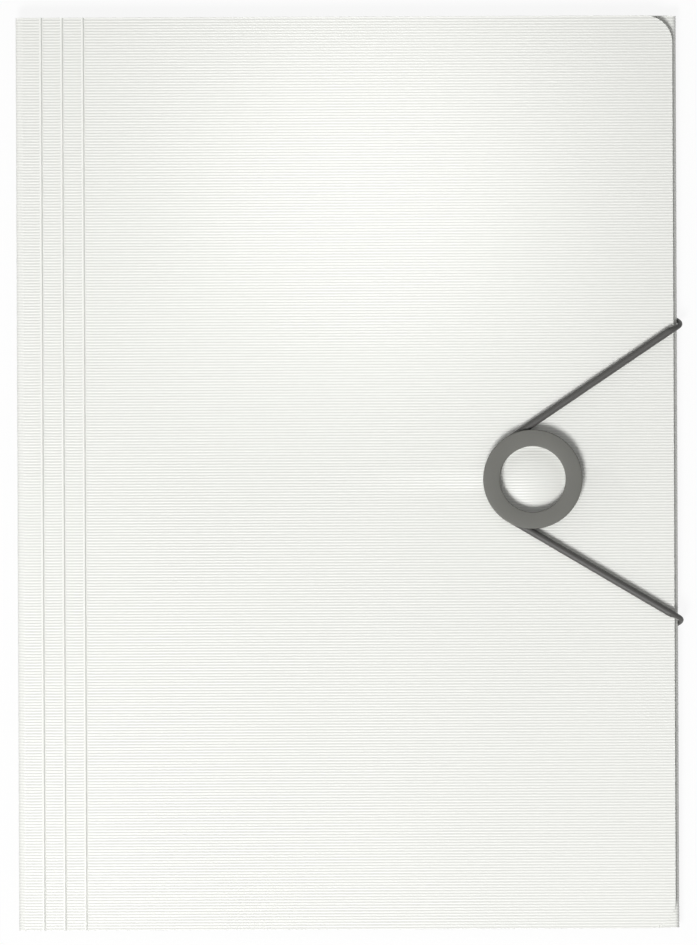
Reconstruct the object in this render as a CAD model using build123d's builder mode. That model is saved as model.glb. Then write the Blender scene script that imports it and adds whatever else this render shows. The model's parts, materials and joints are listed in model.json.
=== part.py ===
"""A three-flap document folder of ribbed plastic sheet, held shut by an elastic cord.

One sheet is folded into a back, a front cover at the left and three flaps at the right, top
and bottom. Scored creases beside each fold let the folder grow from flat to a full spine. The
cord comes up from the back, wraps the right edge twice and hooks round a grooved ring on the
front cover. X runs right, Y up the page and Z up from the desk, with the folder lying closed
and empty. The origin is the middle of the folder, on the desk. Millimetres and degrees.
"""

from build123d import *
from math import acos, atan2, cos, degrees, hypot, sin
import os

os.makedirs("parts", exist_ok=True)

# Sheet and overall size
folder_width = 230.0
folder_height = 318.0
sheet = 0.8
corner_trim = 0.3  # how far the side flap stops short of the folder's top and bottom edge
cover_trim = 0.2  # the same for the front cover and its spine
cover_inset = 1.4  # how far the cover's right edge stops short of the right fold
cover_corner = 9.5

# Stack of layers, from the desk up
elastic_diameter = 2.5
cord_gap = 0.1
layer_gap = 0.3
cover_gap = 1.5  # room under the cover for the ring's backing

# Creases
spine_depth = 23.8  # left edge to the last crease, the thickness of a full folder
crease_pitch = 7.3
crease_groove = 0.45
crease_groove_depth = 0.25
crease_play = 0.05  # what the sheet stops short of a crease's turning circle
crease_web = 0.3

# Flaps
side_flap_reach = 95.0
end_flap_reach = 62.0
flap_corner = 10.0
mitre_gap = 2.0

# Closure ring
ring_from_right = 50.6
ring_below_middle = 2.4
ring_bore_radius = 11.45
ring_rim_radius = 17.25
ring_foot_radius = 16.9
ring_foot = 0.4
ring_rim = 1.1
ring_edge = 0.35
groove_play = 0.2  # space round the cord in the ring's groove
groove_radius_play = 0.3
backing_thickness = 0.9
backing_radius = 15.6
pin_count = 4
pin_radius = 1.2
pin_play = 0.05
pin_circle_radius = 13.0
dome_radius = 10.5
dome_rise = 1.2

# Elastic
elastic_edge_height = 51.5  # where the cord rounds the right edge, above and below the middle
elastic_cover_gap = 0.3
elastic_stretched = 1.6  # diameter where it is pulled thin round the edge
elastic_hole_inset = 14.0  # cord holes from the right edge
elastic_hole_play = 0.3
tail_bend_radius = 1.6
turn_radius = 3.1
tail_slope = 0.68
knee_length = 6.2
bar_length = 13.0
bar_width = 2.8
bar_thickness = 1.1
bar_edge = 0.3

# Places that follow from the sizes above
half_width = folder_width / 2
half_height = folder_height / 2
half_sheet = sheet / 2
back_bottom = elastic_diameter + cord_gap
back_mid = back_bottom + half_sheet
end_flap_mid = back_mid + sheet + layer_gap
side_flap_mid = end_flap_mid + sheet + layer_gap
cover_mid = side_flap_mid + sheet + cover_gap
cover_top = cover_mid + half_sheet
cover_bottom = cover_mid - half_sheet

spine_fold_radius = (cover_mid - back_mid) / 2
side_fold_radius = (side_flap_mid - back_mid) / 2
end_fold_radius = (end_flap_mid - back_mid) / 2
spine_axis_x = -half_width + spine_fold_radius + half_sheet
side_axis_x = half_width - side_fold_radius - half_sheet
end_axis_y = half_height - end_fold_radius - half_sheet

side_depth = spine_depth - (cover_mid - side_flap_mid)
end_depth = spine_depth - (cover_mid - end_flap_mid)
spine_crease_x = -half_width + spine_depth
side_crease_x = half_width - side_depth
end_crease_y = half_height - end_depth
crease_half = half_sheet + crease_play

cover_half_height = half_height - cover_trim
side_half_height = half_height - corner_trim


def save(builder, name):
    """Label a finished piece and write it to its own file."""
    builder.part.label = name
    export_step(builder.part, f"parts/{name}.step")


def fold_tube(plane, axis, middle, radius, side, half_length):
    """Make half a tube of sheet round a fold axis, open towards the folder's inside."""
    outer = radius + half_sheet
    inner = radius - half_sheet
    with BuildPart() as fold:
        with BuildSketch(plane):
            with BuildLine():
                ThreePointArc(
                    (axis, middle - outer), (axis + side * outer, middle), (axis, middle + outer)
                )
                Line((axis, middle + outer), (axis, middle + inner))
                ThreePointArc(
                    (axis, middle + inner), (axis + side * inner, middle), (axis, middle - inner)
                )
                Line((axis, middle - inner), (axis, middle - outer))
            make_face()
        extrude(amount=half_length, both=True)
    return fold


def scored_strip(start, end, middle, half_length, grooves):
    """Make the strip between a fold and a crease, its scores cut in from above."""
    with BuildPart() as strip:
        with BuildSketch(Plane.XZ):
            with Locations(((start + end) / 2, middle)):
                Rectangle(end - start, sheet)
            with Locations(*[(place, middle + half_sheet) for place in grooves]):
                Rectangle(crease_groove, 2 * crease_groove_depth, mode=Mode.SUBTRACT)
        extrude(amount=half_length, both=True)
    return strip


def crease_strip(place, middle, half_length):
    """Make the thin web of sheet that a crease bends at."""
    with BuildPart() as web:
        with BuildSketch(Plane.XZ):
            with Locations((place, middle)):
                Rectangle(2 * crease_half, crease_web)
        extrude(amount=half_length, both=True)
    return web


# Back cover, with the two holes for the cord
elastic_turn_x = half_width + elastic_cover_gap + elastic_stretched / 2
cord_radius = elastic_diameter / 2
strand_edge_z = cover_top + elastic_cover_gap + cord_radius
tail_z = cord_radius
elastic_axis_z = (strand_edge_z + tail_z) / 2
elastic_axis_x = half_width + cord_radius + cord_gap - (strand_edge_z - elastic_axis_z)
hole_x = half_width - elastic_hole_inset
tail_start_y = elastic_edge_height + tail_slope * (elastic_turn_x - elastic_axis_x)
hole_y = elastic_edge_height + tail_slope * (elastic_turn_x - hole_x)
hole_radius = cord_radius + elastic_hole_play

with BuildPart() as back_cover:
    with BuildSketch(Plane.XY.offset(back_bottom)):
        with Locations(((spine_axis_x + side_axis_x) / 2, 0)):
            Rectangle(side_axis_x - spine_axis_x, 2 * end_axis_y)
        with Locations((hole_x, hole_y), (hole_x, -hole_y)):
            Circle(hole_radius, mode=Mode.SUBTRACT)
    extrude(amount=sheet)
save(back_cover, "back_cover")

# Spine: the left fold, the scored strip beside it and the last crease
spine_fold = fold_tube(
    Plane.XZ, spine_axis_x, (back_mid + cover_mid) / 2, spine_fold_radius, -1, cover_half_height
)
save(spine_fold, "spine_fold")

spine_grooves = [spine_crease_x - crease_pitch * count for count in (1, 2)]
spine_strip = scored_strip(
    spine_axis_x, spine_crease_x - crease_half, cover_mid, cover_half_height, spine_grooves
)
save(spine_strip, "spine_strip")

spine_crease = crease_strip(spine_crease_x, cover_mid, cover_half_height)
save(spine_crease, "spine_crease")

# Front cover, with a shallow dome inside the ring and holes for the ring's pins
ring_x = half_width - ring_from_right
ring_y = -ring_below_middle
cover_left = spine_crease_x + crease_half
cover_right = half_width - cover_inset
dome_plane = Plane(origin=(ring_x, ring_y, cover_bottom), x_dir=(1, 0, 0), z_dir=(0, -1, 0))

with BuildPart() as front_cover:
    with BuildSketch(Plane.XY.offset(cover_bottom)) as cover_outline:
        with Locations(((cover_left + cover_right) / 2, 0)):
            Rectangle(cover_right - cover_left, 2 * cover_half_height)
        fillet(cover_outline.vertices().group_by(Axis.X)[-1], cover_corner)
        with Locations((ring_x, ring_y)):
            Circle(dome_radius, mode=Mode.SUBTRACT)
            with PolarLocations(pin_circle_radius, pin_count, start_angle=45):
                Circle(pin_radius + pin_play, mode=Mode.SUBTRACT)
    extrude(amount=sheet)
    with BuildSketch(dome_plane):
        with BuildLine():
            dome_bend = (dome_radius**2 + dome_rise**2) / (2 * dome_rise)
            midway = dome_radius / 2
            sag = dome_bend - (dome_bend**2 - midway**2) ** 0.5
            Line((0, dome_rise), (0, dome_rise + sheet))
            ThreePointArc(
                (0, dome_rise + sheet), (midway, dome_rise + sheet - sag), (dome_radius, sheet)
            )
            Line((dome_radius, sheet), (dome_radius, 0))
            ThreePointArc((dome_radius, 0), (midway, dome_rise - sag), (0, dome_rise))
        make_face()
    revolve(axis=Axis((ring_x, ring_y, 0), (0, 0, 1)))
save(front_cover, "front_cover")

# Side flap: right fold, scored gusset, crease and flap
side_fold = fold_tube(
    Plane.XZ, side_axis_x, (back_mid + side_flap_mid) / 2, side_fold_radius, 1, side_half_height
)
save(side_fold, "side_fold")

side_grooves = [side_crease_x + crease_pitch * count for count in (1, 2)]
side_gusset = scored_strip(
    side_crease_x + crease_half, side_axis_x, side_flap_mid, side_half_height, side_grooves
)
save(side_gusset, "side_gusset")

side_crease = crease_strip(side_crease_x, side_flap_mid, side_half_height)
save(side_crease, "side_crease")

side_flap_left = half_width - side_flap_reach
side_flap_right = side_crease_x - crease_half
with BuildPart() as side_flap:
    with BuildSketch(Plane.XY.offset(side_flap_mid - half_sheet)) as side_outline:
        with Locations(((side_flap_left + side_flap_right) / 2, 0)):
            Rectangle(side_flap_right - side_flap_left, 2 * side_half_height)
        fillet(side_outline.vertices().group_by(Axis.X)[0], flap_corner)
    extrude(amount=sheet)
save(side_flap, "side_flap")


def end_half_width(depth):
    """Half the width of an end flap at a depth in from the folder's edge, its ends mitred."""
    return half_width - depth - mitre_gap


def end_plate(side, near, far, thickness, corner=0, grooves=()):
    """Make the part of an end flap between two depths in from the folder's edge."""
    corners = [
        (-end_half_width(near), side * (half_height - near)),
        (end_half_width(near), side * (half_height - near)),
        (end_half_width(far), side * (half_height - far)),
        (-end_half_width(far), side * (half_height - far)),
    ]
    with BuildPart() as plate:
        with BuildSketch(Plane.XY.offset(end_flap_mid - thickness / 2)) as outline:
            with BuildLine():
                Polyline(*corners, close=True)
            make_face()
            if corner:
                fillet(outline.vertices().sort_by(Axis.Y, reverse=side < 0)[:2], corner)
        extrude(amount=thickness)
        if grooves:
            with BuildSketch(Plane.XY.offset(end_flap_mid + thickness / 2)):
                with Locations(*[(0, place) for place in grooves]):
                    Rectangle(folder_width, crease_groove)
            extrude(amount=-crease_groove_depth, mode=Mode.SUBTRACT)
    return plate


# Top and bottom flaps, mirror images of each other under the side flap
end_root = half_height - end_axis_y
for end_name, end_side in (("top", 1), ("bottom", -1)):
    end_fold = fold_tube(
        Plane.YZ, end_side * end_axis_y, (back_mid + end_flap_mid) / 2, end_fold_radius,
        end_side, end_half_width(end_root),
    )
    save(end_fold, f"{end_name}_fold")

    end_grooves = [end_side * (end_crease_y + crease_pitch * count) for count in (1, 2)]
    end_gusset = end_plate(
        end_side, end_root, end_depth - crease_half, sheet, grooves=end_grooves
    )
    save(end_gusset, f"{end_name}_gusset")

    end_crease = end_plate(
        end_side, end_depth - crease_half, end_depth + crease_half, crease_web
    )
    save(end_crease, f"{end_name}_crease")

    end_flap = end_plate(
        end_side, end_depth + crease_half, end_flap_reach, sheet, corner=flap_corner
    )
    save(end_flap, f"{end_name}_flap")

# Closure ring: a foot on the cover, a groove for the cord, a rim over it and four pins below
groove_height = elastic_diameter + 2 * groove_play
cord_ring_radius = ring_rim_radius - cord_radius
groove_floor_radius = cord_ring_radius - cord_radius - groove_radius_play
ring_height = ring_foot + groove_height + ring_rim
ring_plane = Plane(origin=(ring_x, ring_y, cover_top), x_dir=(1, 0, 0), z_dir=(0, -1, 0))

with BuildPart() as closure_ring:
    with BuildSketch(ring_plane) as ring_section:
        with BuildLine():
            Polyline(
                (ring_bore_radius, 0),
                (ring_foot_radius, 0),
                (ring_foot_radius, ring_foot),
                (groove_floor_radius, ring_foot),
                (groove_floor_radius, ring_foot + groove_height),
                (ring_rim_radius, ring_foot + groove_height),
                (ring_rim_radius, ring_height),
                (ring_bore_radius, ring_height),
                close=True,
            )
        make_face()
        chamfer(ring_section.vertices().group_by(Axis.Y)[-1], ring_edge)
    revolve(axis=Axis((ring_x, ring_y, 0), (0, 0, 1)))
    with BuildSketch(Plane.XY.offset(cover_bottom - backing_thickness)):
        with Locations((ring_x, ring_y)):
            with PolarLocations(pin_circle_radius, pin_count, start_angle=45):
                Circle(pin_radius)
    extrude(amount=backing_thickness + sheet)
save(closure_ring, "closure_ring")

# Backing ring under the cover, which the pins are riveted into
with BuildPart() as ring_backing:
    with BuildSketch(Plane.XY.offset(cover_bottom - backing_thickness)):
        with Locations((ring_x, ring_y)):
            Circle(backing_radius)
            Circle(ring_bore_radius, mode=Mode.SUBTRACT)
            with PolarLocations(pin_circle_radius, pin_count, start_angle=45):
                Circle(pin_radius + pin_play, mode=Mode.SUBTRACT)
    extrude(amount=backing_thickness)
save(ring_backing, "ring_backing")


def straight_cord(start, end):
    """Make a straight length of cord from one point to another."""
    run = Vector(*end) - Vector(*start)
    with BuildPart() as length:
        with BuildSketch(Plane(origin=start, z_dir=run)):
            Circle(cord_radius)
        extrude(amount=run.length)
    return length


def point_at(start, end, x):
    """The point of a straight line at a place across the folder."""
    share = (x - start[0]) / (end[0] - start[0])
    return tuple(a + share * (b - a) for a, b in zip(start, end))


# Elastic cord, in the lengths between its bends, above and below the ring
groove_z = cover_top + ring_foot + groove_height / 2
knee_x = elastic_axis_x - (spine_depth - (cover_mid - back_bottom))
bend_angles = []
for cord_name, cord_side in (("upper", 1), ("lower", -1)):
    corner = (elastic_turn_x, cord_side * elastic_edge_height, strand_edge_z)
    reach = hypot(corner[0] - ring_x, corner[1] - ring_y)
    aim = atan2(corner[1] - ring_y, corner[0] - ring_x)
    leave = aim + cord_side * acos(cord_ring_radius / reach)
    bend_angles.append(degrees(leave))
    tangent = (
        ring_x + cord_ring_radius * cos(leave),
        ring_y + cord_ring_radius * sin(leave),
        groove_z,
    )
    knee_far, knee_near, edge = [
        point_at(tangent, corner, place)
        for place in (knee_x - knee_length / 2, knee_x + knee_length / 2, elastic_axis_x)
    ]

    strand = straight_cord(tangent, knee_far)
    save(strand, f"elastic_strand_{cord_name}")

    knee = straight_cord(knee_far, knee_near)
    save(knee, f"elastic_knee_{cord_name}")

    riser = straight_cord(knee_near, edge)
    save(riser, f"elastic_riser_{cord_name}")

    turn_points = [
        edge,
        corner,
        (elastic_turn_x, cord_side * elastic_edge_height, tail_z),
        (elastic_axis_x, cord_side * tail_start_y, tail_z),
    ]
    with BuildPart() as turn:
        with BuildLine() as turn_path:
            FilletPolyline(*turn_points, radius=turn_radius)
        with BuildSketch(Plane(origin=edge, z_dir=turn_path.line % 0)):
            Circle(elastic_stretched / 2)
        sweep()
    save(turn, f"elastic_turn_{cord_name}")

    tail_points = [
        (elastic_axis_x, cord_side * tail_start_y, tail_z),
        (hole_x, cord_side * hole_y, tail_z),
        (hole_x, cord_side * hole_y, back_bottom + sheet),
    ]
    with BuildPart() as tail:
        with BuildLine() as tail_path:
            FilletPolyline(*tail_points, radius=tail_bend_radius)
        with BuildSketch(Plane(origin=tail_points[0], z_dir=tail_path.line % 0)):
            Circle(cord_radius)
        sweep()
    save(tail, f"elastic_tail_{cord_name}")

    # Crimped metal bar on the cord's end, across its hole on the inside of the back
    with BuildPart() as bar:
        with BuildSketch(Plane.XY.offset(back_bottom + sheet)):
            with Locations((hole_x, cord_side * hole_y)):
                SlotOverall(bar_length, bar_width, rotation=90)
        extrude(amount=bar_thickness)
        chamfer(bar.faces().sort_by(Axis.Z)[-1].edges(), bar_edge)
    save(bar, f"elastic_bar_{cord_name}")

# Loop of the cord round the left of the ring, in its groove
loop_start, loop_end = bend_angles[0], bend_angles[1] + 360
with BuildPart() as elastic_loop:
    with BuildLine() as loop_path:
        CenterArc((ring_x, ring_y, groove_z), cord_ring_radius, loop_start, loop_end - loop_start)
    with BuildSketch(Plane(origin=loop_path.line @ 0, z_dir=loop_path.line % 0)):
        Circle(cord_radius)
    sweep()
save(elastic_loop, "elastic_loop")
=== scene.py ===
# %% [markdown]
# # A ribbed document folder
#
# One sheet of white ribbed plastic is folded into a back, a cover and three flaps. A cord
# comes round the right edge and hooks on a grooved ring. The solid model of the folder is
# loaded first, as a fixed frame. Everything made here is a finer skin over it.

# %% Load the frame
import json
import math
import bpy
import numpy as np
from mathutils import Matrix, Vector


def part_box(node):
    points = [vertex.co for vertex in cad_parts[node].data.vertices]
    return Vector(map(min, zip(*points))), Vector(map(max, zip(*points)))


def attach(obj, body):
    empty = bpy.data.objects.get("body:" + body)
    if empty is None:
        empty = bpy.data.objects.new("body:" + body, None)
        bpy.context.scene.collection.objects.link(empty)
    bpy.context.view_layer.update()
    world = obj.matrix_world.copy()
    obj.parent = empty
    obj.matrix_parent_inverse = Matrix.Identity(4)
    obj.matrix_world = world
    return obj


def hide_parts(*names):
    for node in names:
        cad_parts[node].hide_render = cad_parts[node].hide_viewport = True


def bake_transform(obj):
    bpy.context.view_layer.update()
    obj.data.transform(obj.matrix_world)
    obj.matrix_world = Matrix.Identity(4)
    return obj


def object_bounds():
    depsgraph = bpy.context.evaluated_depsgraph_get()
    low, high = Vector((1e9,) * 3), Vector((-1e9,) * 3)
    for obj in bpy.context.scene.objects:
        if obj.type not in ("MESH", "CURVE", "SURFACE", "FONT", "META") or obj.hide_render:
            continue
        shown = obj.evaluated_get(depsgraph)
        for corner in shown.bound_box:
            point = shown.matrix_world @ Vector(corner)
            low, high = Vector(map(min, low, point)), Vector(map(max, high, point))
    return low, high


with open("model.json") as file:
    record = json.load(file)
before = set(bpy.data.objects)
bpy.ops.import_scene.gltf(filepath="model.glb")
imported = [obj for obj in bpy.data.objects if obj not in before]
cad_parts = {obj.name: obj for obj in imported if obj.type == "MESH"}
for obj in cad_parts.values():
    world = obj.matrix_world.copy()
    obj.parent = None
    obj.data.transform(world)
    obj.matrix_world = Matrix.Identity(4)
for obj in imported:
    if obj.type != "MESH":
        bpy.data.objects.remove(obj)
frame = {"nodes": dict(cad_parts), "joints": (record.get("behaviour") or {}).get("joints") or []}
nodes = frame["nodes"]
solid_bounds = [list(map(float, corner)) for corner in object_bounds()]
joint_places = {
    joint["name"]: np.array(joint["pos_m"])
    for joint in frame["joints"] if "pos_m" in joint
}
mm = 0.001
print("frame", len(nodes), "nodes", solid_bounds)

# %% [markdown]
# ## Camera
#
# The photograph looks straight down from far away, so a long lens three metres up gives
# nearly parallel sight lines. The field is set from the folder's real height and the number
# of pixels that it takes, and the camera is turned a quarter of a degree, as the folder is.

# %% Camera
picture_width, picture_height = 697, 945
folder_pixels = 911.5
folder_middle_px, folder_middle_py = 347.5, 473.0
folder_height = solid_bounds[1][1] - solid_bounds[0][1]
pixel = folder_height / folder_pixels
camera_height = 3.0
sensor = 36.0
folder_turn = math.radians(0.235)

camera_data = bpy.data.cameras.new("camera")
camera = bpy.data.objects.new("camera", camera_data)
bpy.context.scene.collection.objects.link(camera)
bpy.context.scene.camera = camera
camera_data.sensor_width = sensor
camera_data.sensor_fit = "AUTO"
camera_data.lens = sensor * camera_height / (picture_height * pixel)
camera_data.clip_end = 20.0
camera.location = (
    (picture_width / 2 - folder_middle_px) * pixel,
    (folder_middle_py - picture_height / 2) * pixel,
    camera_height,
)
camera.rotation_euler = (0.0, 0.0, -folder_turn)
print("lens", round(camera_data.lens, 1), "mm, pixel", round(pixel / mm, 4), "mm")

# %% [markdown]
# ## Materials as arithmetic
#
# A wrapper round a node's output lets a pattern be written as an expression. Sums and
# products of values add Math nodes, and any other node comes from one method.


# %% Socket arithmetic
class Value:
    """A number that varies over a surface, as an output of a material's node."""

    def __init__(self, paint, socket):
        self.paint = paint
        self.socket = socket

    def math(self, operation, *others, swap=False):
        """Join this value and others by one Math node."""
        terms = (*others, self) if swap else (self, *others)
        return self.paint.node(
            "ShaderNodeMath", dict(operation=operation), {n: t for n, t in enumerate(terms)}
        )

    def __add__(self, other):
        return self.math("ADD", other)

    def __radd__(self, other):
        return self.math("ADD", other, swap=True)

    def __sub__(self, other):
        return self.math("SUBTRACT", other)

    def __rsub__(self, other):
        return self.math("SUBTRACT", other, swap=True)

    def __mul__(self, other):
        return self.math("MULTIPLY", other)

    def __rmul__(self, other):
        return self.math("MULTIPLY", other, swap=True)

    def sine(self):
        """The sine of this value, in radians."""
        return self.math("SINE")


class Paint:
    """A material whose nodes are added by name and joined to its surface shader."""

    def __init__(self, name):
        self.material = bpy.data.materials.new(name)
        self.material.use_nodes = True
        self.tree = self.material.node_tree
        self.shader = self.tree.nodes["Principled BSDF"]

    def node(self, kind, settings, inputs, output=0):
        """Add a node, set its properties and then its inputs, and give one of its outputs."""
        node = self.tree.nodes.new(kind)
        for key, setting in settings.items():
            setattr(node, key, setting)
        for key, value in inputs.items():
            self.join(node.inputs[key], value)
        return Value(self, node.outputs[output])

    def join(self, socket, value):
        """Link a value to a socket, or set a plain number or colour on it."""
        if isinstance(value, Value):
            self.tree.links.new(value.socket, socket)
        else:
            socket.default_value = value

    def set(self, **inputs):
        """Set or link sockets of the surface shader, named with underscores for spaces."""
        for key, value in inputs.items():
            self.join(self.shader.inputs[key.replace("_", " ")], value)

    def place(self):
        """The point of the surface in the folder's own frame, in metres."""
        return self.node("ShaderNodeTexCoord", {}, {}, "Object")

    def noise(self, scale, detail=2.0, rough=0.5, vector=None):
        """A cloudy value between 0 and 1."""
        return self.node(
            "ShaderNodeTexNoise", {},
            {"Vector": vector or self.place(), "Scale": scale, "Detail": detail,
             "Roughness": rough},
            "Fac",
        )

    def blend(self, share, first, second):
        """A colour between two, by a share from 0 to 1."""
        mix = self.tree.nodes.new("ShaderNodeMix")
        mix.data_type = "RGBA"
        mix.clamp_factor = True
        self.join(mix.inputs[0], share)
        self.join(mix.inputs[6], (*first, 1.0))
        self.join(mix.inputs[7], (*second, 1.0))
        return Value(self, mix.outputs[2])

    def bump(self, height, distance, strength=1.0):
        """A surface normal from a height in units of the distance."""
        return self.node(
            "ShaderNodeBump", {},
            {"Height": height, "Distance": distance, "Strength": strength}, "Normal",
        )


# %% [markdown]
# ## White plastic sheet
#
# Ribbed polypropylene is milky and satin. Its ribs are real geometry below, and each mesh
# keeps how deep a point lies in a groove. The material reads that value and paints shade into
# the grooves and scores, so they are greyer. Finer things are a cloudiness, a grain and rubbed
# patches.


# %% Sheet material
def make_sheet_material():
    """Milky white, with painted shade in the grooves and scores, broad clouds and a fine grain.
    """
    paint = Paint("white_ribbed_polypropylene")
    groove = paint.node("ShaderNodeAttribute", dict(attribute_name="groove"), {}, "Fac")
    clouds = paint.noise(14.0, detail=3.0)
    specks = paint.noise(2600.0, detail=1.0)
    rubbed = paint.noise(60.0, detail=4.0, rough=0.6)
    groove_shade_share, cloud_share, speck_share = 0.31, 0.06, 0.04
    # The grooves and scores are painted darker as painted shade; clouds and specks are the
    # sheet's own tone.
    tone = 1.0 - groove * groove_shade_share + clouds * cloud_share - specks * speck_share
    paint.set(
        Base_Color=paint.blend(tone, (0.34, 0.345, 0.325), (0.94, 0.945, 0.905)),
        Roughness=rubbed * 0.1 + 0.3,
        IOR=1.49,
        Normal=paint.bump(specks, 0.00002, 0.35),
    )
    return paint.material


sheet_material = make_sheet_material()

# %% [markdown]
# ## Ring plastic, cord and metal
#
# The ring is moulded in dull grey plastic with a spark-eroded grain. The cord is braided
# textile: two families of yarns wind round it in opposite directions, and their product
# gives the small diamonds. The end bars are pressed steel.


# %% Ring, cord and bar materials
def make_ring_material():
    """Dull grey with the fine grain of a blasted mould."""
    paint = Paint("grey_moulded_plastic")
    grain = paint.noise(4200.0, detail=2.0)
    wear = paint.noise(180.0, detail=3.0)
    paint.set(
        Base_Color=paint.blend(wear, (0.147, 0.147, 0.132), (0.165, 0.165, 0.149)),
        Roughness=grain * 0.1 + 0.5,
        Normal=paint.bump(grain, 0.00003, 0.4),
    )
    return paint.material


def make_cord_material():
    """Braid: yarns wind both ways round the cord, read from its own unwrapped surface."""
    yarns_round, yarn_pitch = 12.0, 0.0009
    paint = Paint("braided_textile")
    unwrapped = paint.node("ShaderNodeUVMap", dict(uv_map="UVMap"), {})
    apart = paint.tree.nodes.new("ShaderNodeSeparateXYZ")
    paint.join(apart.inputs[0], unwrapped)
    around = Value(paint, apart.outputs[0])
    along = Value(paint, apart.outputs[1])
    turns = around * (2 * math.pi * yarns_round)
    travel = along * (2 * math.pi / yarn_pitch)
    right = (turns + travel).sine()
    left = (turns - travel).sine()
    braid = right * left * 0.5 + 0.5
    fuzz = paint.noise(5200.0, detail=3.0)
    tone = braid * 0.5 + fuzz * 0.7 - 0.1
    paint.set(
        Base_Color=paint.blend(tone, (0.02, 0.02, 0.019), (0.17, 0.166, 0.158)),
        Roughness=fuzz * 0.2 + 0.42,
        Specular_IOR_Level=0.5,
        Normal=paint.bump(braid * 0.6 + fuzz * 0.4, 0.00006, 0.6),
    )
    return paint.material


def make_bar_material():
    """Pressed steel with fine lengthwise lines."""
    paint = Paint("pressed_steel")
    lines = paint.node(
        "ShaderNodeMapping", {}, {"Vector": paint.place(), "Scale": (9.0, 0.4, 9.0)}
    )
    brushed = paint.noise(900.0, detail=2.0, vector=lines)
    paint.set(
        Base_Color=paint.blend(brushed, (0.5, 0.5, 0.49), (0.66, 0.66, 0.65)),
        Metallic=1.0,
        Roughness=brushed * 0.18 + 0.3,
    )
    return paint.material


ring_material = make_ring_material()
cord_material = make_cord_material()
bar_material = make_bar_material()

# %% [markdown]
# ## From sections to a closed skin
#
# Every stretch of sheet is a section carried along the folder. The section is a closed loop:
# out along the ribbed face and back along the plain one. Stacking the loops gives a grid of
# points, and one function turns such a grid into a mesh.


# %% Mesh from stacked loops
def skin(name, loops, material, sunk):
    """Close a stack of loops of points into a mesh.

    loops has one row for each station and, in it, the loop's points: the first half runs out
    on one face and the second half back on the other, so point k faces point n - 1 - k. Side
    faces join each row to the next, and each end is closed by strips between facing points.
    sunk says how deep each point of the ribbed face lies, with 1 for the floor of a rib's groove
    and 2 for a score, and is kept with the mesh for its material, which paints the deeper points
    darker as painted shade.
    """
    rows, count = loops.shape[:2]
    index = np.arange(rows * count).reshape(rows, count)
    ahead = np.roll(index, -1, axis=1)
    sides = np.stack([index[:-1], ahead[:-1], ahead[1:], index[1:]], axis=-1).reshape(-1, 4)
    half = count // 2
    k = np.arange(half - 1)
    facing = count - 1 - k
    near = np.stack([index[0, k], index[0, facing], index[0, facing - 1], index[0, k + 1]], -1)
    far = np.stack([index[-1, k], index[-1, k + 1], index[-1, facing - 1], index[-1, facing]], -1)
    faces = np.concatenate([sides, near, far])
    mesh = bpy.data.meshes.new(name)
    mesh.from_pydata(loops.reshape(-1, 3).tolist(), [], faces.tolist())
    depth = mesh.attributes.new("groove", "FLOAT", "POINT")
    depth.data.foreach_set("value", sunk.astype(np.float32).reshape(-1))
    return finish_piece(name, mesh, material)


def finish_piece(name, mesh, material):
    """Turn a closed mesh's faces outwards, shade it and put it in the scene."""
    mesh.update()
    corners = np.empty(len(mesh.vertices) * 3)
    mesh.vertices.foreach_get("co", corners)
    corners = corners.reshape(-1, 3)
    mesh.calc_loop_triangles()
    triangles = np.empty(len(mesh.loop_triangles) * 3, dtype=np.int32)
    mesh.loop_triangles.foreach_get("vertices", triangles)
    a, b, c = (corners[triangles.reshape(-1, 3)[:, n]] for n in range(3))
    if np.einsum("ij,ij->i", a, np.cross(b, c)).sum() < 0:
        mesh.flip_normals()
    mesh.polygons.foreach_set("use_smooth", [True] * len(mesh.polygons))
    mesh.set_sharp_from_angle(angle=math.radians(40))
    piece = bpy.data.objects.new(name, mesh)
    bpy.context.scene.collection.objects.link(piece)
    mesh.materials.append(material)
    return piece


# %% [markdown]
# ## Ribs, scores and bands
#
# Ribs run across the whole sheet a little under a millimetre apart. They are sunk from the
# sheet's face as a smooth wave. Beside each score the ribs stop, which leaves a plain band,
# and the score itself is a narrow V.

# %% Relief of the sheet
rib_pitch = 0.985 * mm
rib_depth = 0.13 * mm
samples_per_rib = 4
band_width = 0.45 * mm
band_ramp = 0.12 * mm
score_width = 0.6 * mm
score_depth = 0.26 * mm
guard = 0.06 * mm
least_gap = 0.001 * mm
crease_pitch = 7.3 * mm


def rib(y):
    """Depth of the rib wave: zero on a crest, minus the depth half a pitch further on."""
    return -rib_depth * (0.5 - 0.5 * np.cos(2 * np.pi * y / rib_pitch))


def plain(place, bands):
    """One where ribs show and zero inside the plain bands, with a short ramp between."""
    mask = np.ones_like(place)
    for low, high in bands:
        outside = np.maximum(low - place, place - high) / band_ramp
        mask *= np.clip(outside, 0.0, 1.0)
    return mask


def score(place, scores):
    """Depth of the V-shaped scores."""
    depth = np.zeros_like(place)
    for middle in scores:
        depth -= score_depth * np.clip(1 - np.abs(place - middle) / (score_width / 2), 0, 1)
    return depth


def stations(low, high):
    """Places along the folder's height that catch each rib's crest, slopes and floor."""
    step = rib_pitch / samples_per_rib
    inner = np.arange(math.ceil(low / step) + 1, math.floor(high / step)) * step
    near_ends = np.array([0.0, 0.02, 0.07, 0.15]) * mm
    return np.unique(np.concatenate([low + near_ends, inner, high - near_ends]))


def breakpoints(low, high, bands, scores, extra):
    """Places across a plate where its relief changes slope, and its two edges.

    A further column close outside each band and score keeps the soft shading near them.
    """
    places = [low, high, *extra]
    for a, b in bands:
        places += [a - band_ramp - guard, a - band_ramp, a, b, b + band_ramp,
                   b + band_ramp + guard]
    for middle in scores:
        half = score_width / 2
        places += [middle - half - guard, middle - half, middle, middle + half,
                   middle + half + guard]
    places = np.sort(np.clip(places, low, high))
    apart = np.diff(places, prepend=-np.inf) > least_gap
    return places[apart]


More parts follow.
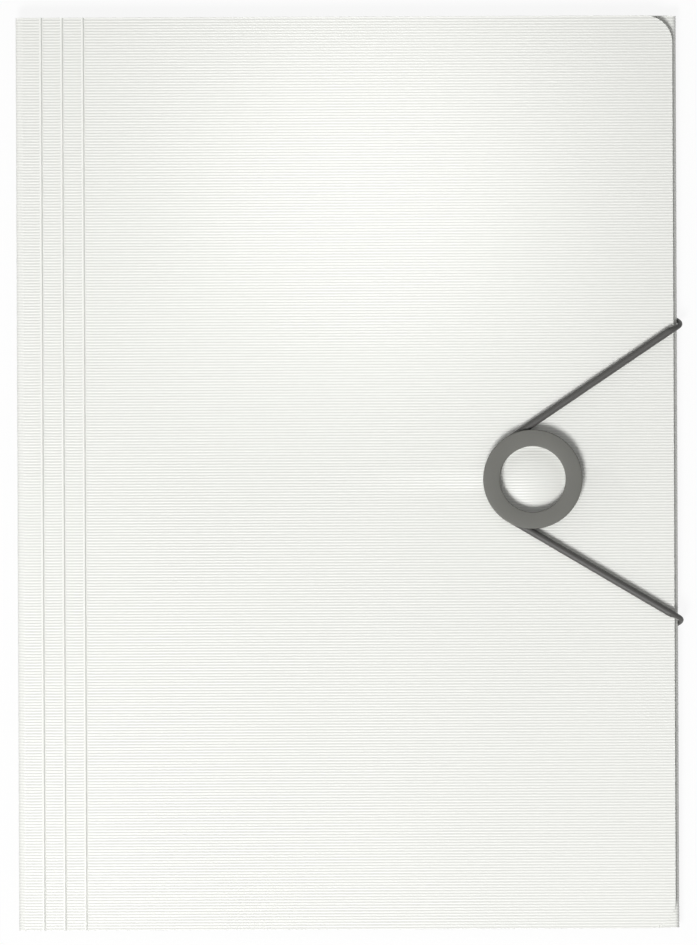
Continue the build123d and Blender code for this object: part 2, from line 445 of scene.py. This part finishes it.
# %% [markdown]
# ## Plates
#
# A plate is a ribbed face over a plain one. Its columns stay put between two places and
# stretch outside them, so that a rounded or slanted edge bends the grid only near that edge.


# %% Plate builder
def plate(name, y_span, edges, fixed, z_span, outside, bands=(), scores=(), extra=(),
          cross_bands=(), cross_scores=(), swell=None):
    """A plate of sheet as a grid of height over x and y.

    edges gives the left and right edge at each y. Between the fixed places a column keeps its
    x; outside them it is scaled to the edge. The face named by outside, +1 for up and -1 for
    down, is sunk by ribs, which bands interrupt, and by scores: bands and scores lie at places
    in x, cross_bands and cross_scores at places in y. swell raises both faces at (x, y).
    """
    y = stations(*y_span)
    left, right = edges(y)
    columns = breakpoints(left.min(), right.max(), bands, scores, extra)
    x = np.repeat(columns[None, :], len(y), axis=0)
    low_fixed, high_fixed = fixed
    pull_left = (low_fixed - left) / max(low_fixed - left.min(), 1e-9)
    pull_right = (right - high_fixed) / max(right.max() - high_fixed, 1e-9)
    x = np.where(columns < low_fixed, low_fixed - (low_fixed - x) * pull_left[:, None], x)
    x = np.where(columns > high_fixed, high_fixed + (x - high_fixed) * pull_right[:, None], x)
    yy = np.repeat(y[:, None], len(columns), axis=1)
    relief = rib(yy) * plain(x, bands) * plain(yy, cross_bands)
    relief = relief + score(x, scores) + score(yy, cross_scores)
    lift = swell(x, yy) if swell else np.zeros_like(x)
    ribbed = (z_span[1] + relief if outside > 0 else z_span[0] - relief) + lift
    smooth = np.full_like(x, z_span[0] if outside > 0 else z_span[1]) + lift
    front = np.stack([x, yy, ribbed], axis=-1)
    back = np.stack([x, yy, smooth], axis=-1)[:, ::-1]
    loops = np.concatenate([front, back], axis=1)
    # The depth, 2 at a score, drives the painted shade of grooves and scores in the material.
    sunk = np.concatenate([np.minimum(-relief / rib_depth, 2.0), np.zeros_like(relief)], axis=1)
    return skin(name, loops, sheet_material, sunk)


def straight(left, right):
    """Edges that don't change with height."""
    return lambda y: (np.full_like(y, left), np.full_like(y, right))


def inset(y, reach, radius):
    """How far a rounded corner draws an edge in, at a height on a plate of half height reach."""
    into = np.clip(np.abs(y) - (reach - radius), 0, radius)
    return radius - np.sqrt(np.maximum(radius**2 - into**2, 0.0))


# %% [markdown]
# ## Cover, spine strip and back
#
# The cover's right corners are round, and inside the ring the sheet is pressed up into a
# shallow dome, the cap of a sphere.

# %% Cover, spine strip and back
back_low, back_high = (np.array(corner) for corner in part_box("back_cover"))
strip_low, strip_high = (np.array(corner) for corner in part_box("spine_strip"))
cover_low, cover_high = (np.array(corner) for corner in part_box("front_cover"))
ring_low, ring_high = (np.array(corner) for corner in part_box("closure_ring"))
sheet = back_high[2] - back_low[2]
cover_z = (strip_low[2], strip_high[2])
ring_middle = (ring_low + ring_high) / 2
spine_crease_x = joint_places["cover_open_at_crease"][0]
dome_rise = cover_high[2] - strip_high[2]
dome_radius = 10.5 * mm
cover_corner = 9.5 * mm
corner_shares = np.array([0.15, 0.4, 0.75, 1.4])


def dome(x, y):
    """Height of a spherical cap over the cover, zero beyond its rim."""
    ball = (dome_radius**2 + dome_rise**2) / (2 * dome_rise)
    out = np.minimum((x - ring_middle[0])**2 + (y - ring_middle[1])**2, dome_radius**2)
    return np.sqrt(ball**2 - out) - (ball - dome_rise)


def cover_edges(y):
    """The cover's straight left edge and its right edge with round corners."""
    return (
        np.full_like(y, cover_low[0]),
        cover_high[0] - inset(y, cover_high[1], cover_corner),
    )


dome_columns = ring_middle[0] + np.linspace(-dome_radius, dome_radius, 19)
corner_columns = cover_high[0] - cover_corner * corner_shares
cover_fixed = cover_high[0] - 2 * cover_corner
front_cover = plate(
    "cover_sheet", (cover_low[1], cover_high[1]), cover_edges,
    (cover_low[0], cover_fixed), cover_z, 1,
    extra=[*dome_columns, *corner_columns, cover_fixed, 0.0], swell=dome,
)
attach(front_cover, "front_cover")
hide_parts("front_cover")

spine_scores = [spine_crease_x - crease_pitch * count for count in (2, 1)]
spine_bands = [(middle - score_width / 2 - band_width, middle + score_width / 2)
               for middle in (*spine_scores, spine_crease_x)]
spine_strip = plate(
    "spine_strip_sheet", (strip_low[1], strip_high[1]),
    straight(strip_low[0], strip_high[0]), (strip_low[0], strip_high[0]), cover_z, 1,
    bands=spine_bands, scores=spine_scores,
)
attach(spine_strip, "spine_strip")
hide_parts("spine_strip")

back_cover = plate(
    "back_sheet", (back_low[1], back_high[1]), straight(back_low[0], back_high[0]),
    (back_low[0], back_high[0]), (back_low[2], back_high[2]), -1, extra=[0.0],
)
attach(back_cover, "back")
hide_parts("back_cover")
print("cover faces", len(front_cover.data.polygons))

# %% [markdown]
# ## Side flap
#
# The side flap lies under the cover and shows at the cover's rounded corners. Its free
# corners, inside the folder, are rounded.

# %% Side gusset and flap
gusset_low, gusset_high = (np.array(corner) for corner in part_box("side_gusset"))
flap_low, flap_high = (np.array(corner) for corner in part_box("side_flap"))
side_crease_x = joint_places["side_open_at_crease"][0]
side_z = (gusset_low[2], gusset_high[2])
flap_corner = 10.0 * mm

side_scores = [side_crease_x + crease_pitch * count for count in (1, 2)]
side_bands = [(middle - score_width / 2, middle + score_width / 2 + band_width)
              for middle in (side_crease_x, *side_scores)]
side_gusset = plate(
    "side_gusset_sheet", (gusset_low[1], gusset_high[1]),
    straight(gusset_low[0], gusset_high[0]), (gusset_low[0], gusset_high[0]), side_z, 1,
    bands=side_bands, scores=side_scores,
)
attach(side_gusset, "side_gusset")
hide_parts("side_gusset")


def side_flap_edges(y):
    """The side flap's rounded left edge and straight right edge."""
    return (
        flap_low[0] + inset(y, flap_high[1], flap_corner),
        np.full_like(y, flap_high[0]),
    )


flap_columns = flap_low[0] + flap_corner * corner_shares
flap_fixed = flap_low[0] + 2 * flap_corner
side_flap = plate(
    "side_flap_sheet", (flap_low[1], flap_high[1]), side_flap_edges,
    (flap_fixed, flap_high[0]), side_z, 1, extra=[*flap_columns, flap_fixed],
)
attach(side_flap, "side_flap")
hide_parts("side_flap")

# %% [markdown]
# ## Top and bottom flaps
#
# These are tucked under the side flap. Their ends are cut at 45 degrees, so that they can be
# lifted past the side flap and the spine.


# %% Top and bottom flaps
def end_edges(side, mitre_half, mitre_y, reach=None, radius=0.0):
    """Slanted ends: the half width falls by one for each unit further in.

    side is +1 at the top and -1 at the bottom, and mitre_half is the half width at the root,
    which lies mitre_y from the middle. A flap of this reach is rounded by the radius.
    """
    def edges(y):
        depth = mitre_y - side * y
        half = mitre_half - depth
        if reach is not None:
            into = np.clip(depth - (reach - radius), 0, radius)
            half = half - (radius - np.sqrt(np.maximum(radius**2 - into**2, 0.0)))
        return -half, half
    return edges


for word, side in (("top", 1), ("bottom", -1)):
    low, high = (np.array(corner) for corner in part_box(f"{word}_gusset"))
    root_y = high[1] if side > 0 else low[1]
    root_half = high[0]
    crease_y = joint_places[f"{word}_open_at_crease"][1]
    cross_scores = [crease_y + side * crease_pitch * count for count in (1, 2)]
    cross_bands = [
        sorted((place - side * score_width / 2, place + side * (score_width / 2 + band_width)))
        for place in (crease_y, *cross_scores)
    ]
    end_gusset = plate(
        f"{word}_gusset_sheet", (low[1], high[1]), end_edges(side, root_half, side * root_y),
        (0.0, 0.0), (low[2], high[2]), 1, extra=[0.0],
        cross_bands=cross_bands, cross_scores=cross_scores,
    )
    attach(end_gusset, f"{word}_gusset")
    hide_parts(f"{word}_gusset")

    flat_low, flat_high = (np.array(corner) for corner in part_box(f"{word}_flap"))
    flap_depth = side * root_y - (flat_low[1] if side > 0 else -flat_high[1])
    end_flap = plate(
        f"{word}_flap_sheet", (flat_low[1], flat_high[1]),
        end_edges(side, root_half, side * root_y, flap_depth, flap_corner),
        (0.0, 0.0), (flat_low[2], flat_high[2]), 1, extra=[0.0],
    )
    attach(end_flap, f"{word}_flap")
    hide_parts(f"{word}_flap")

# %% [markdown]
# ## Folds
#
# A fold is half a tube between two layers, which runs from its foot on the back to its upper
# edge.


# %% Fold builder
def fold(word, across):
    """Half a tube of sheet round a fold's axis, its outer face sunk by the ribs.

    Points lie at radius r and angle a round the axis: r cos a towards the folder's outside
    and r sin a up. across says which way the axis runs: along y, where ribs ring the tube, or
    along x, where they run down it and are phased by the length of arc.
    """
    low, high = (np.array(corner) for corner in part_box(f"{word}_fold"))
    joint_word = "cover" if word == "spine" else word
    axis = joint_places[f"{joint_word}_open_at_fold"]
    outer = (high[2] - low[2]) / 2
    inner = outer - sheet
    angles = np.radians(np.linspace(-90, 90, 21))
    if across == "y":
        along = stations(low[1], high[1])
        relief = np.repeat(rib(along)[:, None], len(angles), axis=1)
    else:
        along = np.linspace(low[0], high[0], 3)
        arc = (outer + inner) / 2 * (angles + np.pi / 2)
        relief = np.repeat(rib(abs(axis[1]) + arc)[None, :], len(along), axis=0)
    turn = np.repeat(angles[None, :], len(along), axis=0)
    turn = np.concatenate([turn, turn[:, ::-1]], axis=1)
    radii = np.concatenate([outer + relief, np.full_like(relief, inner)], axis=1)
    sideways = radii * np.cos(turn)
    up = axis[2] + radii * np.sin(turn)
    place = np.repeat(along[:, None], radii.shape[1], axis=1)
    if across == "y":
        loops = np.stack([axis[0] + math.copysign(1, axis[0]) * sideways, place, up], axis=-1)
    else:
        loops = np.stack([place, axis[1] + math.copysign(1, axis[1]) * sideways, up], axis=-1)
    # The depth drives the painted shade of the rib grooves in the material.
    sunk = np.concatenate([-relief / rib_depth, np.zeros_like(relief)], axis=1)
    piece = skin(f"{word}_fold_sheet", loops, sheet_material, sunk)
    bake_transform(piece)
    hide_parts(f"{word}_fold")


fold("spine", "y")
fold("side", "y")
fold("top", "x")
fold("bottom", "x")

# %% [markdown]
# ## Creases
#
# A crease is a scored line in the sheet. A narrow strip with the score along its middle
# joins the gusset to the flap.


# %% Crease strips
def crease(word, node, across, outward):
    """A narrow scored strip between a gusset and its flap.

    across is the direction in which the strip is crossed, "x" or "y", and outward is the side,
    +1 or -1, that the gusset lies on.
    """
    low, high = (np.array(corner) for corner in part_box(node))
    middle = joint_places[f"{word}_open_at_crease"]
    z = ((low[2] + high[2] - sheet) / 2, (low[2] + high[2] + sheet) / 2)
    if across == "x":
        band = sorted((middle[0] - outward * score_width / 2,
                       middle[0] + outward * (score_width / 2 + band_width)))
        piece = plate(
            f"{word}_crease_sheet", (low[1], high[1]), straight(low[0], high[0]),
            (low[0], high[0]), z, 1, bands=[band], scores=[middle[0]],
        )
        start, end = (low[0], 0.0, middle[2]), (high[0], 0.0, middle[2])
    else:
        reach = (high[1] - low[1]) / 2
        half = high[0] - reach
        piece = plate(
            f"{word}_crease_sheet", (low[1], high[1]),
            lambda y: (-half - outward * (y - middle[1]), half + outward * (y - middle[1])),
            (0.0, 0.0), z, 1, extra=[0.0],
            cross_bands=[(low[1] - sheet, high[1] + sheet)], cross_scores=[middle[1]],
        )
        start, end = (0.0, low[1], middle[2]), (0.0, high[1], middle[2])
    if outward > 0:
        start, end = end, start
    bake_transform(piece)
    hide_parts(node)


crease("cover", "spine_crease", "x", -1)
crease("side", "side_crease", "x", 1)
crease("top", "top_crease", "y", 1)
crease("bottom", "bottom_crease", "y", -1)

# %% [markdown]
# ## Ring and metal ends
#
# The ring's section is turned round its own axis, with each edge rounded by a small arc. It
# replaces the plainer solid ring. The backing and the bars under it keep their solids.


# %% Ring
def rounded_section(corners, radii, steps=6):
    """Replace each corner of a section by an arc of its radius, as points in order."""
    points = []
    count = len(corners)
    for n, (corner, radius) in enumerate(zip(corners, radii)):
        here = np.array(corner)
        before = np.array(corners[n - 1]) - here
        after = np.array(corners[(n + 1) % count]) - here
        before = before / np.linalg.norm(before)
        after = after / np.linalg.norm(after)
        if radius <= 0:
            points.append(here)
            continue
        centre = here + radius * (before + after)
        start = -after
        for share in np.linspace(0, 1, steps):
            swing = share * math.pi / 2
            points.append(centre + radius * (start * math.cos(swing) - before * math.sin(swing)))
    return np.array(points)


def turned(name, middle, section, material, steps=128):
    """Turn a closed section of (radius, height) points round a vertical axis."""
    angle = np.linspace(0, 2 * np.pi, steps, endpoint=False)[:, None]
    x = middle[0] + section[None, :, 0] * np.cos(angle)
    y = middle[1] + section[None, :, 0] * np.sin(angle)
    z = np.repeat(section[None, :, 1], steps, axis=0)
    points = np.stack([x, y, z], axis=-1)
    rows, count = points.shape[:2]
    index = np.arange(rows * count).reshape(rows, count)
    right = np.roll(index, -1, axis=1)
    ahead = np.roll(index, -1, axis=0)
    both = np.roll(ahead, -1, axis=1)
    faces = np.stack([index, right, both, ahead], axis=-1).reshape(-1, 4)
    mesh = bpy.data.meshes.new(name)
    mesh.from_pydata(points.reshape(-1, 3).tolist(), [], faces.tolist())
    return finish_piece(name, mesh, material)


cord_radius = 1.25 * mm
rim_radius = (ring_high[0] - ring_low[0]) / 2
bore_radius = 11.45 * mm
foot_radius = 16.9 * mm
foot_height = 0.4 * mm
play_behind, play_above = 0.3 * mm, 0.4 * mm
groove_radius = rim_radius - 2 * cord_radius - play_behind
foot_top = cover_z[1] + foot_height
rim_bottom = foot_top + 2 * cord_radius + play_above
soft = 0.35 * mm
ring_section = rounded_section(
    [(bore_radius, cover_z[1]), (foot_radius, cover_z[1]), (foot_radius, foot_top),
     (groove_radius, foot_top), (groove_radius, rim_bottom), (rim_radius, rim_bottom),
     (rim_radius, ring_high[2]), (bore_radius, ring_high[2])],
    [0, 0.05 * mm, 0.15 * mm, 0.2 * mm, 0.2 * mm, 0.12 * mm, soft, soft],
)
ring = turned("grooved_ring", ring_middle, ring_section, ring_material)
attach(ring, "front_cover")
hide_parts("closure_ring")

for name, material in (
    ("ring_backing", ring_material), ("elastic_bar_upper", bar_material),
    ("elastic_bar_lower", bar_material),
):
    nodes[name].data.materials.clear()
    nodes[name].data.materials.append(material)

# %% [markdown]
# ## Elastic cord
#
# The cord is one braided line: out of its hole, under the back, round the right edge, across
# the cover and round the ring. It is a tube carried along that route. The route is cut where
# the bodies that carry it change, and the tail, the riser and the loop go with their bodies.


# %% Cord builder
def tube(name, route, radius, start_length):
    """A round tube along a route, its circles kept square to the route.

    The radius is one number, or one for each point of the route. Each circle's first direction
    is the last one's, less its part along the new tangent, so the tube doesn't twist. The
    unwrapped surface has the turn as u and the length in metres as v. It gives the piece and
    the length of cord up to the route's end.
    """
    route = np.array(route)
    steps = np.gradient(route, axis=0)
    tangents = steps / np.linalg.norm(steps, axis=1)[:, None]
    side = np.cross(tangents[0], (0.0, 0.0, 1.0))
    if np.linalg.norm(side) < 0.1:
        side = np.array((0.0, 1.0, 0.0))
    firsts = []
    for tangent in tangents:
        side = side - tangent * (side @ tangent)
        side = side / np.linalg.norm(side)
        firsts.append(side)
    firsts = np.array(firsts)
    seconds = np.cross(tangents, firsts)
    around = 24
    angle = np.linspace(0, 2 * np.pi, around, endpoint=False)
    circle = (firsts[:, None] * np.cos(angle)[None, :, None]
              + seconds[:, None] * np.sin(angle)[None, :, None])
    points = route[:, None] + circle * np.asarray(radius).reshape(-1, 1, 1)
    rows = len(route)
    index = np.arange(rows * around).reshape(rows, around)
    ahead = np.roll(index, -1, axis=1)
    faces = np.stack([index[:-1], ahead[:-1], ahead[1:], index[1:]], -1).reshape(-1, 4).tolist()
    faces += [index[0, ::-1].tolist(), index[-1].tolist()]
    mesh = bpy.data.meshes.new(name)
    mesh.from_pydata(points.reshape(-1, 3).tolist(), [], faces)
    lengths = start_length + np.concatenate(
        [[0.0], np.cumsum(np.linalg.norm(np.diff(route, axis=0), axis=1))]
    )
    unwrap = mesh.uv_layers.new(name="UVMap")
    corner_vertex = np.empty(len(mesh.loops), dtype=np.int32)
    mesh.loops.foreach_get("vertex_index", corner_vertex)
    u = (corner_vertex % around) / around
    wraps = np.zeros(len(mesh.loops), dtype=bool)
    side_corners = (rows - 1) * around * 4
    quads = u[:side_corners].reshape(-1, 4)
    wraps[:side_corners] = ((quads < 0.01) & (quads.max(axis=1)[:, None] > 0.9)).reshape(-1)
    uv = np.stack([np.where(wraps, 1.0, u), lengths[corner_vertex // around]], axis=1)
    unwrap.data.foreach_set("uv", uv.astype(np.float32).reshape(-1))
    return finish_piece(name, mesh, cord_material), lengths[-1]


def line(start, end, count):
    """Evenly spaced points from one place to another."""
    share = np.linspace(0, 1, count)[:, None]
    return np.array(start) * (1 - share) + np.array(end) * share


# %% [markdown]
# ### Route of the cord
#
# Where the cord is pulled round the edge it is thinner, and its centre line is half an
# ellipse. The radius falls and rises again along that turn. From the edge to the ring the
# cord is straight. Its knee is a stretch that lies mostly on the ring's side of the hinge,
# which keeps it nearly clear of the side gusset when everything is open.

# %% Cord pieces
edge_height = 51.5 * mm
thin_radius = 0.85 * mm
thin_reach = 1.6
edge_axis = joint_places["elastic_open_at_edge"]
knee_x = joint_places["elastic_open_at_knee"][0]
knee_before = 2.6 * mm
knee_beyond = 5.5 * mm
folder_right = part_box("side_fold")[1][0]
turn_x = folder_right + 1.0 * mm
tail_z = cord_radius
tail_slope = 0.68
strand_z = 2 * edge_axis[2] - tail_z
groove_z = (foot_top + rim_bottom) / 2
wrap_radius = rim_radius - cord_radius
hole_x = folder_right - 14.0 * mm
hole_bend = 1.6 * mm
upwards = np.array((0.0, 0.0, 1.0))
leave_angles = {}
cord_length = 0.0

for word, side in (("upper", 1), ("lower", -1)):
    corner = np.array((turn_x, side * edge_height, strand_z))
    reach = math.hypot(corner[0] - ring_middle[0], corner[1] - ring_middle[1])
    aim = math.atan2(corner[1] - ring_middle[1], corner[0] - ring_middle[0])
    leave = aim + side * math.acos(wrap_radius / reach)
    leave_angles[word] = leave
    touch = np.array((
        ring_middle[0] + wrap_radius * math.cos(leave),
        ring_middle[1] + wrap_radius * math.sin(leave),
        groove_z,
    ))

    def on_strand(x):
        """The point of the straight strand at a place across the folder."""
        return touch + (corner - touch) * (x - touch[0]) / (corner[0] - touch[0])

    edge = on_strand(edge_axis[0])

    # The tail comes down through its hole, bends and runs under the back to the edge.
    tail_y = side * (edge_height + tail_slope * (turn_x - edge_axis[0]))
    hole_y = side * (edge_height + tail_slope * (turn_x - hole_x))
    away = np.array((hole_x - edge_axis[0], hole_y - tail_y, 0.0))
    away = away / np.linalg.norm(away)
    hole_low = np.array((hole_x, hole_y, tail_z))
    swing = np.linspace(0, math.pi / 2, 9)[:, None]
    into_hole = (hole_low - hole_bend * away + hole_bend * upwards
                 + hole_bend * (away * np.sin(swing) - upwards * np.cos(swing)))
    tail_route = np.concatenate([
        line((hole_x, hole_y, back_high[2]), into_hole[-1] + (0, 0, 0.01 * mm), 3),
        into_hole[::-1],
        line(hole_low - 1.05 * hole_bend * away, (edge_axis[0], tail_y, tail_z), 16),
    ])
    tail, length = tube(f"cord_tail_{word}", tail_route, cord_radius, 0.0)
    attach(tail, "back")
    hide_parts(f"elastic_tail_{word}")

    # The turn goes round the right edge and is thinnest at its middle.
    angle = np.radians(np.linspace(-90, 90, 41))
    semi_x, semi_z = turn_x - edge_axis[0], strand_z - edge_axis[2]
    share = (angle + math.pi / 2) / math.pi
    turn_route = np.stack([
        edge_axis[0] + semi_x * np.cos(angle),
        tail_y + (edge[1] - tail_y) * share,
        edge_axis[2] + semi_z * np.sin(angle),
    ], axis=1)
    thinning = np.clip(thin_reach * np.cos(angle), 0, 1)
    turn_radius = cord_radius + (thin_radius - cord_radius) * thinning
    turn, length = tube(f"cord_turn_{word}", turn_route, turn_radius, length)
    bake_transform(turn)
    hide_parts(f"elastic_turn_{word}")

    # Riser, knee and strand share one straight line to the ring.
    near, far = on_strand(knee_x + knee_before), on_strand(knee_x - knee_beyond)
    riser, length = tube(f"cord_riser_{word}", line(edge, near, 20), cord_radius, length)
    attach(riser, "elastic_riser")
    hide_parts(f"elastic_riser_{word}")
    knee, length = tube(f"cord_knee_{word}", line(near, far, 24), cord_radius, length)
    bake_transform(knee)
    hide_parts(f"elastic_knee_{word}")
    strand, length = tube(f"cord_strand_{word}", line(far, touch, 60), cord_radius, length)
    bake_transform(strand)
    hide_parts(f"elastic_strand_{word}")
    cord_length += length

arc = np.linspace(leave_angles["upper"], leave_angles["lower"] + 2 * math.pi, 60)
loop_route = np.stack([
    ring_middle[0] + wrap_radius * np.cos(arc),
    ring_middle[1] + wrap_radius * np.sin(arc),
    np.full_like(arc, groove_z),
], axis=1)
loop, length = tube("cord_loop", loop_route, cord_radius, length)
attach(loop, "elastic_loop")
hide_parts("elastic_loop")
cord_length += wrap_radius * (arc[-1] - arc[0])
print("cord length", round(cord_length / mm, 1), "mm")

# %% [markdown]
# ## Floor and light
#
# The floor is white to the camera and keeps a soft shadow. The light is plain: a soft sky, a
# broad lamp past the folder's lower edge that draws out the ribs, a low lamp at the left that
# lights the fold, and a narrow lamp overhead that makes a paler patch on the upper cover.


# %% Floor
def make_floor():
    """A large white floor under the folder, its brightness lifted for the camera alone."""
    paint = Paint("white_floor")
    seen = paint.node("ShaderNodeLightPath", {}, {}, "Is Camera Ray")
    glossy = paint.node("ShaderNodeLightPath", {}, {}, "Is Glossy Ray")
    clear = paint.node("ShaderNodeLightPath", {}, {}, "Is Transmission Ray")
    shown = (seen + glossy + clear).math("MINIMUM", 1.0)
    paint.set(Base_Color=paint.blend(shown, (0.3, 0.3, 0.3), (0.9, 0.9, 0.9)), Roughness=0.9)
    glow = paint.tree.nodes.new("ShaderNodeEmission")
    glow.inputs["Color"].default_value = (1.0, 1.0, 1.0, 1.0)
    mix = paint.tree.nodes.new("ShaderNodeMixShader")
    paint.join(mix.inputs[0], shown * 0.9)
    paint.tree.links.new(paint.shader.outputs[0], mix.inputs[1])
    paint.tree.links.new(glow.outputs[0], mix.inputs[2])
    output = paint.tree.nodes["Material Output"]
    paint.tree.links.new(mix.outputs[0], output.inputs[0])
    size = 6.0
    mesh = bpy.data.meshes.new("floor")
    floor_z = -0.2 * mm
    mesh.from_pydata(
        [(-size, -size, floor_z), (size, -size, floor_z), (size, size, floor_z),
         (-size, size, floor_z)], [], [(0, 1, 2, 3)],
    )
    mesh.materials.append(paint.material)
    floor = bpy.data.objects.new("floor", mesh)
    bpy.context.scene.collection.objects.link(floor)


make_floor()

# %% [markdown]
# A lamp shines along its own minus Z, so a square one is aimed by turning that axis at the
# folder, and the narrow one looks down without any turn.


# %% Lamps and sky
def area_lamp(name, place, side, power):
    """A square lamp at a place, facing the middle of the folder."""
    data = bpy.data.lights.new(name, "AREA")
    data.shape = "SQUARE"
    data.size = side
    data.energy = power
    lamp = bpy.data.objects.new(name, data)
    bpy.context.scene.collection.objects.link(lamp)
    aim = -np.array(place)
    lamp.location = place
    heading = math.atan2(aim[1], aim[0])
    tilt = math.acos(-aim[2] / np.linalg.norm(aim))
    lamp.rotation_euler = (tilt, 0.0, heading - math.pi / 2)


def spot_lamp(name, place, width, ball, power):
    """A lamp that looks straight down in a soft-rimmed cone, its width in degrees."""
    data = bpy.data.lights.new(name, "SPOT")
    data.spot_size = math.radians(width)
    data.spot_blend = 1.0
    data.shadow_soft_size = ball
    data.energy = power
    lamp = bpy.data.objects.new(name, data)
    bpy.context.scene.collection.objects.link(lamp)
    lamp.location = place


def make_sky(horizon, zenith):
    """A soft white sky, brighter towards the top, that the camera sees as plain white."""
    world = bpy.data.worlds.new("soft_sky")
    bpy.context.scene.world = world
    world.use_nodes = True
    tree = world.node_tree
    sky = tree.nodes["Background"]
    sky.inputs["Color"].default_value = (1.0, 1.0, 1.0, 1.0)
    direction = tree.nodes.new("ShaderNodeTexCoord")
    apart = tree.nodes.new("ShaderNodeSeparateXYZ")
    rise = tree.nodes.new("ShaderNodeMapRange")
    rise.inputs["To Min"].default_value = horizon
    rise.inputs["To Max"].default_value = zenith
    tree.links.new(direction.outputs["Generated"], apart.inputs[0])
    tree.links.new(apart.outputs["Z"], rise.inputs["Value"])
    tree.links.new(rise.outputs[0], sky.inputs["Strength"])
    shown_sky = tree.nodes.new("ShaderNodeBackground")
    shown_sky.inputs["Color"].default_value = (1.0, 1.0, 1.0, 1.0)
    shown_sky.inputs["Strength"].default_value = 1.0
    seen = tree.nodes.new("ShaderNodeLightPath")
    choose = tree.nodes.new("ShaderNodeMixShader")
    tree.links.new(seen.outputs["Is Camera Ray"], choose.inputs[0])
    tree.links.new(sky.outputs[0], choose.inputs[1])
    tree.links.new(shown_sky.outputs[0], choose.inputs[2])
    tree.links.new(choose.outputs[0], tree.nodes["World Output"].inputs[0])


area_lamp("key", (-0.45, -1.1, 1.9), side=0.7, power=38.5)
area_lamp("edge", (-1.7, 0.1, 0.35), side=0.5, power=5.0)
spot_lamp("pool", (0.01, 0.105, 1.6), width=7.5, ball=0.05, power=15.0)
make_sky(horizon=0.12, zenith=0.38)
bpy.context.scene.view_settings.view_transform = "Standard"
